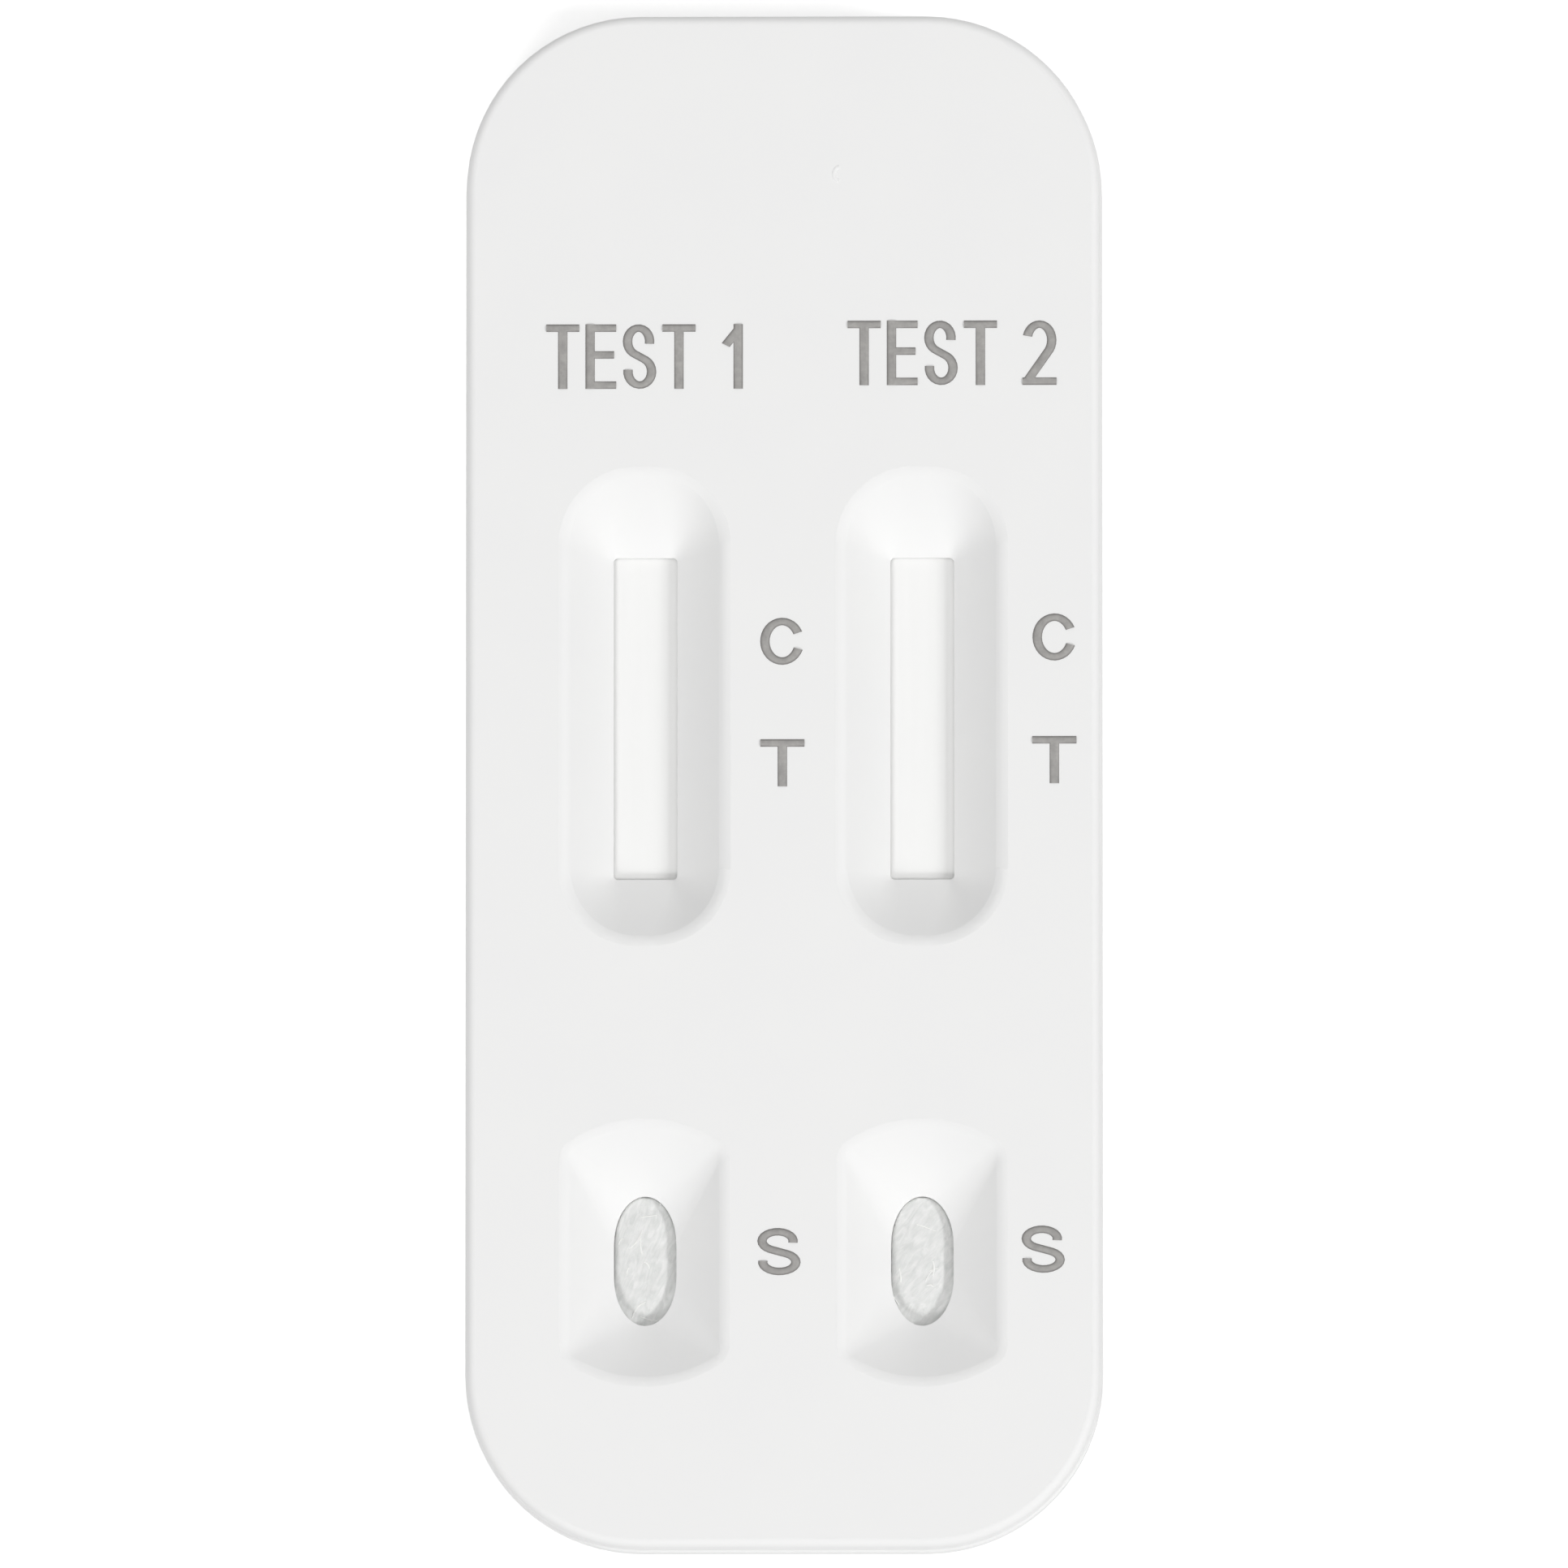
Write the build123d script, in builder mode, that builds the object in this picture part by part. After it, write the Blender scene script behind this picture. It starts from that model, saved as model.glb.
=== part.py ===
"""Twin-strip lateral flow cassette.

A flat moulded housing in two shells holds two test strips side by side. Each strip is a backing card
that carries a sample pad, a conjugate pad, a membrane and an absorbent pad, each lapped over the next.
The upper shell shows the membranes through two result windows and opens over the sample pads with two
wells. Millimetres. The origin is the middle of the underside, +Z is up, and +Y runs from the sample
wells towards the absorbent pads.
"""

import os

from build123d import *

# Test strips
strip_length = 60.0
strip_width = 4.0
strip_pitch = 12.6
card_thickness = 0.3
membrane_thickness = 0.2
conjugate_thickness = 0.45
sample_thickness = 0.35
absorbent_thickness = 0.9
conjugate_length = 8.0
pad_lap = 2.0
lap_ramp = 0.5

# Housing walls, edges and room around the strips
side_margin = 8.2
end_room = 3.8
corner_radius = 8.0
wall = 1.2
plate = 1.2
floor = 1.0
bed_rise = 1.0
head_room = 0.7
seam_height = 2.4
seam_step = 0.1
seam_chamfer = 0.15
edge_round = 0.4
base_chamfer = 0.4

# Result windows, placed from the sample end of the strip
window_inset = 32.95
window_length = 14.7
window_width = 2.9
window_corner = 0.2
window_gap = 0.1
window_sill = 0.3
window_frame = 1.3
membrane_margin_low = 3.6
membrane_margin_high = 6.7

# Sample wells, placed from the sample end of the strip
well_inset = 8.2
well_width = 2.85
well_straight = 1.5
well_bow = 2.2
well_shoulder = 65.0
well_lip = 0.55

# Funnel recesses round the windows and wells
recess_width = 7.2
window_recess_low = 2.9
window_recess_high = 3.8
window_recess_crown = 0.6
well_recess_straight = 9.4
well_recess_bow = 1.17
well_recess_corner = 0.5
well_recess_offset = 0.3
recess_round = 0.8
block_inset = 0.5
block_gap = 0.15

# Tray ribs that carry and guide the strips
rail_clearance = 0.1
rail_thickness = 1.0
rail_length = 9.0
rail_count = 4
rail_spacing = 16.0
support_thickness = 0.8
support_count = 8
support_spacing = 8.0
stop_thickness = 1.0
bar_thickness = 0.8
bar_side_gap = 0.2
bar_end_inset = 2.0

# Press-fit pins and sockets
pin_radius = 0.9
pin_clearance = 0.02
pin_tip_gap = 0.2
pin_tip_chamfer = 0.3
pin_sides = 6
socket_wall = 0.7
socket_gap = 0.4
pin_corner_gap = 3.0

# Heights, stacked up from the underside
bed = floor + bed_rise
card_top = bed + card_thickness
membrane_top = card_top + membrane_thickness
conjugate_top = card_top + conjugate_thickness
sample_top = card_top + sample_thickness
absorbent_top = card_top + absorbent_thickness
lapped_conjugate_top = membrane_top + conjugate_thickness
lapped_sample_top = conjugate_top + sample_thickness
lapped_absorbent_top = membrane_top + absorbent_thickness
plate_underside = lapped_sample_top + head_room
housing_height = plate_underside + plate
window_underside = membrane_top + window_gap
window_floor = window_underside + window_sill
well_floor = sample_top + well_lip
block_underside = lapped_conjugate_top + block_gap
rail_top = membrane_top - rail_clearance

# Outline of the housing
housing_length = strip_length + 2 * (end_room + wall)
housing_width = strip_pitch + 2 * side_margin

# Places along the strip
sample_end = -strip_length / 2
absorbent_end = strip_length / 2
well_y = sample_end + well_inset
window_y = sample_end + window_inset
membrane_start = window_y - window_length / 2 - membrane_margin_low
membrane_end = window_y + window_length / 2 + membrane_margin_high
conjugate_end = membrane_start + pad_lap
conjugate_start = conjugate_end - conjugate_length
sample_lap_end = conjugate_start + pad_lap
absorbent_lap_end = membrane_end - pad_lap
well_recess_y = well_y + well_recess_offset
well_recess_length = well_recess_straight + 2 * well_recess_bow
window_recess_y = window_y + (window_recess_high - window_recess_low) / 2
window_recess_length = window_length + window_recess_low + window_recess_high
window_recess_corner = (recess_width - window_recess_crown) / 2

# Places across the housing
strip_places = (("left", -strip_pitch / 2), ("right", strip_pitch / 2))
rail_x = strip_width / 2 + rail_clearance + rail_thickness / 2
socket_radius = pin_radius + socket_wall
socket_inner_x = strip_pitch / 2 + rail_x + rail_thickness / 2 + socket_gap
socket_outer_x = housing_width / 2 - seam_step - wall / 2
pin_x = socket_inner_x + socket_radius
pin_y = housing_length / 2 - corner_radius - pin_corner_gap

# Hold-down bars: the place along the strip and the top of the pad that each one presses
bar_places = (
    (sample_end + bar_end_inset, sample_top),
    (conjugate_start + pad_lap / 2, lapped_sample_top),
    (membrane_start + pad_lap / 2, lapped_conjugate_top),
    (membrane_end - pad_lap / 2, lapped_absorbent_top),
    (absorbent_end - bar_end_inset, absorbent_top),
)


def bowed_face(width, straight, bow, corner):
    """Face with two straight sides, ends that bow outwards in circular arcs, and rounded corners."""
    side = width / 2
    end = straight / 2
    with BuildSketch() as face:
        with BuildLine():
            Line((side, -end), (side, end))
            ThreePointArc((side, end), (0, end + bow), (-side, end))
            Line((-side, end), (-side, -end))
            ThreePointArc((-side, -end), (0, -end - bow), (side, -end))
        make_face()
        fillet(face.vertices(), corner)
    return face.sketch


def oval_face(width, straight, bow, shoulder):
    """Face with two straight sides and half-ellipse ends.

    Each end is drawn in three parts that meet at the shoulder angle, counted from the side, to pair with
    the corners and ends of a bowed face.
    """
    side = width / 2
    end = straight / 2
    crown = 180 - 2 * shoulder
    with BuildSketch() as face:
        with BuildLine():
            Line((side, -end), (side, end))
            EllipticalCenterArc((0, end), side, bow, 0, arc_size=shoulder)
            EllipticalCenterArc((0, end), side, bow, shoulder, arc_size=crown)
            EllipticalCenterArc((0, end), side, bow, 180 - shoulder, arc_size=shoulder)
            Line((-side, end), (-side, -end))
            EllipticalCenterArc((0, -end), side, bow, 180, arc_size=shoulder)
            EllipticalCenterArc((0, -end), side, bow, 180 + shoulder, arc_size=crown)
            EllipticalCenterArc((0, -end), side, bow, 360 - shoulder, arc_size=shoulder)
        make_face()
    return face.sketch


def lapped_profile(near_end, far_end, neighbour_end, step, thickness):
    """Side view of a pad that lies on the card and rides up over its neighbour.

    It is drawn along the strip and upwards. The pad starts at near_end, reaches the end of its
    neighbour at neighbour_end, and ends on top of it at far_end.
    """
    direction = 1 if far_end > near_end else -1
    ramp_start = neighbour_end - direction * lap_ramp
    underside = (
        (near_end, card_top),
        (ramp_start, card_top),
        (neighbour_end, card_top + step),
        (far_end, card_top + step),
    )
    top = tuple((y, z + thickness) for y, z in reversed(underside))
    with BuildSketch() as face:
        with BuildLine():
            Polyline(*underside, *top, close=True)
        make_face()
    return face.sketch


os.makedirs("parts", exist_ok=True)

# Lower shell: tray with supports, guide rails, end stops and pins
with BuildPart() as lower_shell:
    with BuildSketch(Plane.XY.offset(seam_height)):
        RectangleRounded(housing_width, housing_length, corner_radius)
    extrude(amount=-seam_height)
    chamfer(lower_shell.edges().group_by(Axis.Z)[0], base_chamfer)
    chamfer(lower_shell.edges().group_by(Axis.Z)[-1], seam_chamfer)
    with BuildSketch(Plane.XY.offset(floor)):
        RectangleRounded(
            housing_width - 2 * (wall + seam_step),
            housing_length - 2 * (wall + seam_step),
            corner_radius - wall - seam_step,
        )
    extrude(amount=seam_height - floor, mode=Mode.SUBTRACT)
    for side, strip_x in strip_places:
        with BuildSketch(Plane((strip_x, 0, floor))):
            with GridLocations(0, support_spacing, 1, support_count):
                Rectangle(2 * rail_x, support_thickness)
        extrude(amount=bed_rise)
        with BuildSketch(Plane((strip_x, 0, floor))):
            with GridLocations(2 * rail_x, rail_spacing, 2, rail_count):
                Rectangle(rail_thickness, rail_length)
            with GridLocations(0, strip_length + 2 * rail_clearance + stop_thickness, 1, 2):
                Rectangle(strip_width, stop_thickness)
        extrude(amount=rail_top - floor)
    with BuildSketch(Plane.XY.offset(floor)):
        with GridLocations(2 * pin_x, pin_y, 2, 3):
            RegularPolygon(pin_radius, pin_sides)
    extrude(amount=plate_underside - pin_tip_gap - floor)
    chamfer(lower_shell.edges().group_by(Axis.Z)[-1], pin_tip_chamfer)
lower_shell.part.label = "lower_shell"
export_step(lower_shell.part, "parts/lower_shell.step")

# Upper shell: plate and skirt with funnels, windows, wells, hold-down bars and sockets
with BuildPart() as upper_shell:
    with BuildSketch(Plane.XY.offset(seam_height)):
        RectangleRounded(
            housing_width - 2 * seam_step,
            housing_length - 2 * seam_step,
            corner_radius - seam_step,
        )
    extrude(amount=housing_height - seam_height)
    fillet(upper_shell.edges().group_by(Axis.Z)[-1], edge_round)
    with BuildSketch(Plane.XY.offset(seam_height)):
        RectangleRounded(
            housing_width - 2 * (wall + seam_step),
            housing_length - 2 * (wall + seam_step),
            corner_radius - wall - seam_step,
        )
    extrude(amount=plate_underside - seam_height, mode=Mode.SUBTRACT)
    with BuildSketch(Plane.XY.offset(plate_underside)):
        with GridLocations(socket_inner_x + socket_outer_x, pin_y, 2, 3):
            Rectangle(socket_outer_x - socket_inner_x, 2 * socket_radius)
    extrude(amount=seam_height - plate_underside)
    for side, strip_x in strip_places:
        with BuildSketch(Plane((strip_x, well_recess_y, sample_top))):
            Rectangle(recess_width - 2 * block_inset, well_recess_length - 2 * block_inset)
        extrude(amount=plate_underside - sample_top)
        with BuildSketch(Plane((strip_x, window_recess_y, block_underside))):
            Rectangle(recess_width - 2 * block_inset, window_recess_length - 2 * block_inset)
        extrude(amount=plate_underside - block_underside)
        with BuildSketch(Plane((strip_x, window_y, window_underside))):
            Rectangle(window_width + 2 * window_frame, window_length + 2 * window_frame)
        extrude(amount=plate_underside - window_underside)
        for bar_y, pad_top in bar_places:
            with BuildSketch(Plane((strip_x, bar_y, pad_top))):
                Rectangle(strip_width - 2 * bar_side_gap, bar_thickness)
            extrude(amount=plate_underside - pad_top)
        with BuildSketch(Plane((strip_x, window_recess_y, housing_height))):
            RectangleRounded(recess_width, window_recess_length, window_recess_corner)
        with BuildSketch(Plane((strip_x, window_y, window_floor))):
            RectangleRounded(window_width, window_length, window_corner)
        loft(ruled=True, mode=Mode.SUBTRACT)
        fillet(upper_shell.edges(Select.LAST).group_by(Axis.Z)[-1], recess_round)
        with BuildSketch(Plane((strip_x, well_recess_y, housing_height))):
            add(bowed_face(recess_width, well_recess_straight, well_recess_bow, well_recess_corner))
        with BuildSketch(Plane((strip_x, well_y, well_floor))):
            add(oval_face(well_width, well_straight, well_bow, well_shoulder))
        loft(ruled=True, mode=Mode.SUBTRACT)
        fillet(upper_shell.edges(Select.LAST).group_by(Axis.Z)[-1], recess_round)
        with BuildSketch(Plane((strip_x, window_y, window_floor))):
            RectangleRounded(window_width, window_length, window_corner)
        extrude(amount=seam_height - window_floor, mode=Mode.SUBTRACT)
        with BuildSketch(Plane((strip_x, well_y, well_floor))):
            add(oval_face(well_width, well_straight, well_bow, well_shoulder))
        extrude(amount=seam_height - well_floor, mode=Mode.SUBTRACT)
    with BuildSketch(Plane.XY.offset(seam_height)):
        with GridLocations(2 * pin_x, pin_y, 2, 3):
            RegularPolygon(pin_radius + pin_clearance, pin_sides)
    extrude(amount=plate_underside - seam_height, mode=Mode.SUBTRACT)
upper_shell.part.label = "upper_shell"
export_step(upper_shell.part, "parts/upper_shell.step")

# Two test strips, each a card with four lapped layers
for side, strip_x in strip_places:
    strip_plane = Plane.YZ.offset(strip_x)

    with BuildPart() as backing_card:
        with BuildSketch(Plane((strip_x, 0, bed))):
            Rectangle(strip_width, strip_length)
        extrude(amount=card_thickness)
    backing_card.part.label = f"{side}_backing_card"
    export_step(backing_card.part, f"parts/{side}_backing_card.step")

    with BuildPart() as membrane:
        with BuildSketch(Plane((strip_x, (membrane_start + membrane_end) / 2, card_top))):
            Rectangle(strip_width, membrane_end - membrane_start)
        extrude(amount=membrane_thickness)
    membrane.part.label = f"{side}_membrane"
    export_step(membrane.part, f"parts/{side}_membrane.step")

    with BuildPart() as conjugate_pad:
        with BuildSketch(strip_plane):
            add(
                lapped_profile(
                    conjugate_start, conjugate_end, membrane_start, membrane_thickness, conjugate_thickness
                )
            )
        extrude(amount=strip_width / 2, both=True)
    conjugate_pad.part.label = f"{side}_conjugate_pad"
    export_step(conjugate_pad.part, f"parts/{side}_conjugate_pad.step")

    with BuildPart() as sample_pad:
        with BuildSketch(strip_plane):
            add(
                lapped_profile(
                    sample_end, sample_lap_end, conjugate_start, conjugate_thickness, sample_thickness
                )
            )
        extrude(amount=strip_width / 2, both=True)
    sample_pad.part.label = f"{side}_sample_pad"
    export_step(sample_pad.part, f"parts/{side}_sample_pad.step")

    with BuildPart() as absorbent_pad:
        with BuildSketch(strip_plane):
            add(
                lapped_profile(
                    absorbent_end, absorbent_lap_end, membrane_end, membrane_thickness, absorbent_thickness
                )
            )
        extrude(amount=strip_width / 2, both=True)
    absorbent_pad.part.label = f"{side}_absorbent_pad"
    export_step(absorbent_pad.part, f"parts/{side}_absorbent_pad.step")
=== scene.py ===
"""Dress, light and frame the twin-strip lateral flow cassette.

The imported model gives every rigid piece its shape. This script adds the raised marks on the plate and the
soft fibre pads of the strips, gives every surface its finish, and sets up a plain studio round the object.
Sizes are millimetres unless a name says otherwise, and Blender's own coordinates are metres.
"""

import logging
import math
import random
from dataclasses import dataclass, field
from enum import Enum

import bmesh
import bpy
from mathutils import Matrix, Vector, noise


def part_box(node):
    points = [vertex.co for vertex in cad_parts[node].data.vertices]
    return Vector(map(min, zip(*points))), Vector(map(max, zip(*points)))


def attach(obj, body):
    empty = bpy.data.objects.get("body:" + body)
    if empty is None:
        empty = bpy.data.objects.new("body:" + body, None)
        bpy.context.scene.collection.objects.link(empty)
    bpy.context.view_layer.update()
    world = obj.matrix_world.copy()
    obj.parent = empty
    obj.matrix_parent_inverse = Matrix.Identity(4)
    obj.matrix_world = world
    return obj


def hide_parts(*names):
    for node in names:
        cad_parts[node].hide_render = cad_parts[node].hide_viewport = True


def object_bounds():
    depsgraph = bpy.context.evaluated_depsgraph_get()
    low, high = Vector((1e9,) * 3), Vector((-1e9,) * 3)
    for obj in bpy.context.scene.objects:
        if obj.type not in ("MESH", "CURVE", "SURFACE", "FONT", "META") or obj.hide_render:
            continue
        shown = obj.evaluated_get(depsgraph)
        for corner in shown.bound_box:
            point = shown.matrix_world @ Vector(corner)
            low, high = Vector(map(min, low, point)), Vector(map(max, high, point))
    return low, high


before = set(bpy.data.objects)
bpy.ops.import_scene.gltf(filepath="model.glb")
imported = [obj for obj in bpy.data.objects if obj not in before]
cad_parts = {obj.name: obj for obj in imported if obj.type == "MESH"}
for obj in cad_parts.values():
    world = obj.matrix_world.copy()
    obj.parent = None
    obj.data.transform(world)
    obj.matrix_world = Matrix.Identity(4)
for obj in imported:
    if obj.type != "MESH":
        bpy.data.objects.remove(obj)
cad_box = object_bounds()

MM = 0.001
BODY = "root"
STRAND = "strand"
Point = tuple[float, float]
E_BARS = ((1.0, 1.0), (0.53, 0.9), (0.0, 1.0))
QUARTER_TURN = 90.0
FRACTAL_FALL = 1.0
FRACTAL_GAP = 2.0
FRACTAL_OCTAVES = 3

log = logging.getLogger("cassette")


class Side(Enum):
    """The two strips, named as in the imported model."""

    LEFT = "left"
    RIGHT = "right"


class Glyph(Enum):
    """Shapes that the raised marks are made of."""

    C = "C"
    E = "E"
    S = "S"
    T = "T"
    ONE = "1"
    TWO = "2"
    CRESCENT = "("


def linear(hex_colour: str) -> tuple[float, float, float, float]:
    """Turn an sRGB hex colour into the linear colour that Blender's sockets take.

    Args:
        hex_colour: Colour as "#RRGGBB".

    Returns:
        Linear red, green and blue, and an alpha of one.
    """
    channels = [int(hex_colour[i : i + 2], 16) / 255 for i in (1, 3, 5)]
    red, green, blue = (c / 12.92 if c <= 0.04045 else ((c + 0.055) / 1.055) ** 2.4 for c in channels)
    return red, green, blue, 1.0


def per_size(size: float) -> float:
    """Scale of a texture on Object coordinates whose features are this many millimetres wide."""
    return 1 / (size * MM)


def add_node(tree: bpy.types.NodeTree, kind: str, inputs: dict | None = None, **settings) -> bpy.types.Node:
    """Add a node, set its properties and fill its inputs.

    Args:
        tree: Node tree that gets the node.
        kind: Blender's type name for the node.
        inputs: Values, or output sockets to link, by input name or number.
        **settings: Properties of the node.

    Returns:
        The new node.
    """
    node = tree.nodes.new(kind)
    for name, value in settings.items():
        setattr(node, name, value)
    for name, value in (inputs or {}).items():
        if isinstance(value, bpy.types.NodeSocket):
            tree.links.new(value, node.inputs[name])
        else:
            node.inputs[name].default_value = value
    return node


def new_material(name: str) -> tuple[bpy.types.Material, bpy.types.NodeTree]:
    """Make a material with an empty node tree.

    Args:
        name: Name of the material.

    Returns:
        The material and its node tree.
    """
    material = bpy.data.materials.new(name)
    material.use_nodes = True
    material.node_tree.nodes.clear()
    return material, material.node_tree


def dress(piece: bpy.types.Object, material: bpy.types.Material) -> None:
    """Give a whole piece one material."""
    piece.data.materials.clear()
    piece.data.materials.append(material)


def clamped(value: float) -> float:
    """Hold a share between nought and one."""
    return min(max(value, 0.0), 1.0)


def smoothstep(value: float) -> float:
    """Ease a share between nought and one at both ends."""
    share = clamped(value)
    return share * share * (3 - 2 * share)


def new_tube(name: str, radius: float, roundness: int) -> bpy.types.Curve:
    """Make an empty curve whose splines become closed tubes.

    Args:
        name: Name of the curve.
        radius: Radius of the tubes in millimetres.
        roundness: Blender's bevel resolution.

    Returns:
        The curve.
    """
    curve = bpy.data.curves.new(name, "CURVE")
    curve.dimensions = "3D"
    curve.bevel_depth = radius * MM
    curve.bevel_resolution = roundness
    curve.use_fill_caps = True
    return curve


def mesh_of(curve: bpy.types.Curve) -> bpy.types.Mesh:
    """Turn a curve into a mesh.

    Args:
        curve: The curve with its splines.

    Returns:
        A new mesh of its tubes.
    """
    carrier = bpy.data.objects.new(curve.name, curve)
    bpy.context.collection.objects.link(carrier)
    mesh = bpy.data.meshes.new_from_object(carrier)
    bpy.data.objects.remove(carrier)
    return mesh


@dataclass(frozen=True)
class Polystyrene:
    """Satin white polystyrene, injection moulded in a fine spark-eroded mould.

    The eye sees a plain, slightly cool white with a broad soft sheen and hardly any grain. Slow, very faint
    clouds in it come from the melt, and a fine grain in the gloss from the mould's wall.
    """

    name: str = "moulded_polystyrene"
    light: str = "#F2F2F1"
    dark: str = "#EFEFEF"
    ior: float = 1.59
    roughness_low: float = 0.54
    roughness_high: float = 0.66
    cloud: float = 5.0
    cloud_detail: float = 3.0
    cloud_roughness: float = 0.55
    grain: float = 0.16
    grain_detail: float = 2.0
    grain_depth: float = 0.004
    grain_strength: float = 0.25

    def material(self) -> bpy.types.Material:
        """Build the material.

        Returns:
            The finished material.
        """
        material, tree = new_material(self.name)
        place = add_node(tree, "ShaderNodeTexCoord").outputs["Object"]
        cloud = add_node(
            tree,
            "ShaderNodeTexNoise",
            {
                "Vector": place,
                "Scale": per_size(self.cloud),
                "Detail": self.cloud_detail,
                "Roughness": self.cloud_roughness,
            },
        )
        colour = add_node(
            tree,
            "ShaderNodeMix",
            {"Factor": cloud.outputs["Fac"], "A": linear(self.dark), "B": linear(self.light)},
            data_type="RGBA",
        )
        grain = add_node(
            tree,
            "ShaderNodeTexNoise",
            {"Vector": place, "Scale": per_size(self.grain), "Detail": self.grain_detail},
        )
        gloss = add_node(
            tree,
            "ShaderNodeMapRange",
            {"Value": grain.outputs["Fac"], "To Min": self.roughness_low, "To Max": self.roughness_high},
        )
        bump = add_node(
            tree,
            "ShaderNodeBump",
            {
                "Height": grain.outputs["Fac"],
                "Strength": self.grain_strength,
                "Distance": self.grain_depth * MM,
            },
        )
        shader = add_node(
            tree,
            "ShaderNodeBsdfPrincipled",
            {
                "Base Color": colour.outputs["Result"],
                "Roughness": gloss.outputs["Result"],
                "IOR": self.ior,
                "Normal": bump.outputs["Normal"],
            },
        )
        add_node(tree, "ShaderNodeOutputMaterial", {"Surface": shader.outputs["BSDF"]})
        return material


@dataclass(frozen=True)
class StampedInk:
    """Warm grey foil ink, hot stamped on raised marks.

    The eye sees a mid grey, a little uneven where the foil took better or worse, with a soft sheen. Its
    colour goes paler on the crown of a stroke and darker down the flanks, by how far the surface tilts from
    level, which draws a thin outline.
    """

    name: str = "stamped_grey_ink"
    light: str = "#A8A6A3"
    dark: str = "#93918F"
    flank: str = "#787674"
    flank_slope: float = 0.80
    crown_slope: float = 0.97
    ior: float = 1.5
    roughness: float = 0.5
    mottle: float = 0.35
    mottle_detail: float = 4.0
    mottle_roughness: float = 0.6
    mottle_low: float = 0.3
    mottle_high: float = 0.7

    def material(self) -> bpy.types.Material:
        """Build the material.

        Returns:
            The finished material.
        """
        material, tree = new_material(self.name)
        place = add_node(tree, "ShaderNodeTexCoord").outputs["Object"]
        mottle = add_node(
            tree,
            "ShaderNodeTexNoise",
            {
                "Vector": place,
                "Scale": per_size(self.mottle),
                "Detail": self.mottle_detail,
                "Roughness": self.mottle_roughness,
            },
        )
        share = add_node(
            tree,
            "ShaderNodeMapRange",
            {"Value": mottle.outputs["Fac"], "From Min": self.mottle_low, "From Max": self.mottle_high},
        )
        colour = add_node(
            tree,
            "ShaderNodeMix",
            {"Factor": share.outputs["Result"], "A": linear(self.dark), "B": linear(self.light)},
            data_type="RGBA",
        )
        # Darker with the surface's tilt from level: the flanks of each stroke take the flank colour, the
        # level crown keeps the mottled ink.
        facing = add_node(
            tree,
            "ShaderNodeSeparateXYZ",
            {"Vector": add_node(tree, "ShaderNodeNewGeometry").outputs["Normal"]},
        )
        crown = add_node(
            tree,
            "ShaderNodeMapRange",
            {"Value": facing.outputs["Z"], "From Min": self.flank_slope, "From Max": self.crown_slope},
        )
        tilt_darkened = add_node(
            tree,
            "ShaderNodeMix",
            {"Factor": crown.outputs["Result"], "A": linear(self.flank), "B": colour.outputs["Result"]},
            data_type="RGBA",
        )
        shader = add_node(
            tree,
            "ShaderNodeBsdfPrincipled",
            {"Base Color": tilt_darkened.outputs["Result"], "Roughness": self.roughness, "IOR": self.ior},
        )
        add_node(tree, "ShaderNodeOutputMaterial", {"Surface": shader.outputs["BSDF"]})
        return material


@dataclass(frozen=True)
class SheetStock:
    """Matt white sheet, cast or calendered: the nitrocellulose membranes and the PVC cards.

    The eye sees a dead flat white. Streaks along the sheet, left by casting, are almost too faint to see.
    """

    name: str
    light: str
    dark: str
    ior: float
    roughness: float
    streak_width: float = 0.5
    streak_length: float = 12.0
    pore: float = 0.08
    pore_depth: float = 0.006
    pore_strength: float = 0.3

    def material(self) -> bpy.types.Material:
        """Build the material.

        Returns:
            The finished material.
        """
        material, tree = new_material(self.name)
        place = add_node(tree, "ShaderNodeTexCoord").outputs["Object"]
        across = per_size(self.streak_width)
        along = add_node(
            tree,
            "ShaderNodeMapping",
            {"Vector": place, "Scale": (across, per_size(self.streak_length), across)},
        )
        streak = add_node(tree, "ShaderNodeTexNoise", {"Vector": along.outputs["Vector"], "Scale": 1.0})
        colour = add_node(
            tree,
            "ShaderNodeMix",
            {"Factor": streak.outputs["Fac"], "A": linear(self.dark), "B": linear(self.light)},
            data_type="RGBA",
        )
        pore = add_node(tree, "ShaderNodeTexNoise", {"Vector": place, "Scale": per_size(self.pore)})
        bump = add_node(
            tree,
            "ShaderNodeBump",
            {
                "Height": pore.outputs["Fac"],
                "Strength": self.pore_strength,
                "Distance": self.pore_depth * MM,
            },
        )
        shader = add_node(
            tree,
            "ShaderNodeBsdfPrincipled",
            {
                "Base Color": colour.outputs["Result"],
                "Roughness": self.roughness,
                "IOR": self.ior,
                "Normal": bump.outputs["Normal"],
            },
        )
        add_node(tree, "ShaderNodeOutputMaterial", {"Surface": shader.outputs["BSDF"]})
        return material


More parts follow.
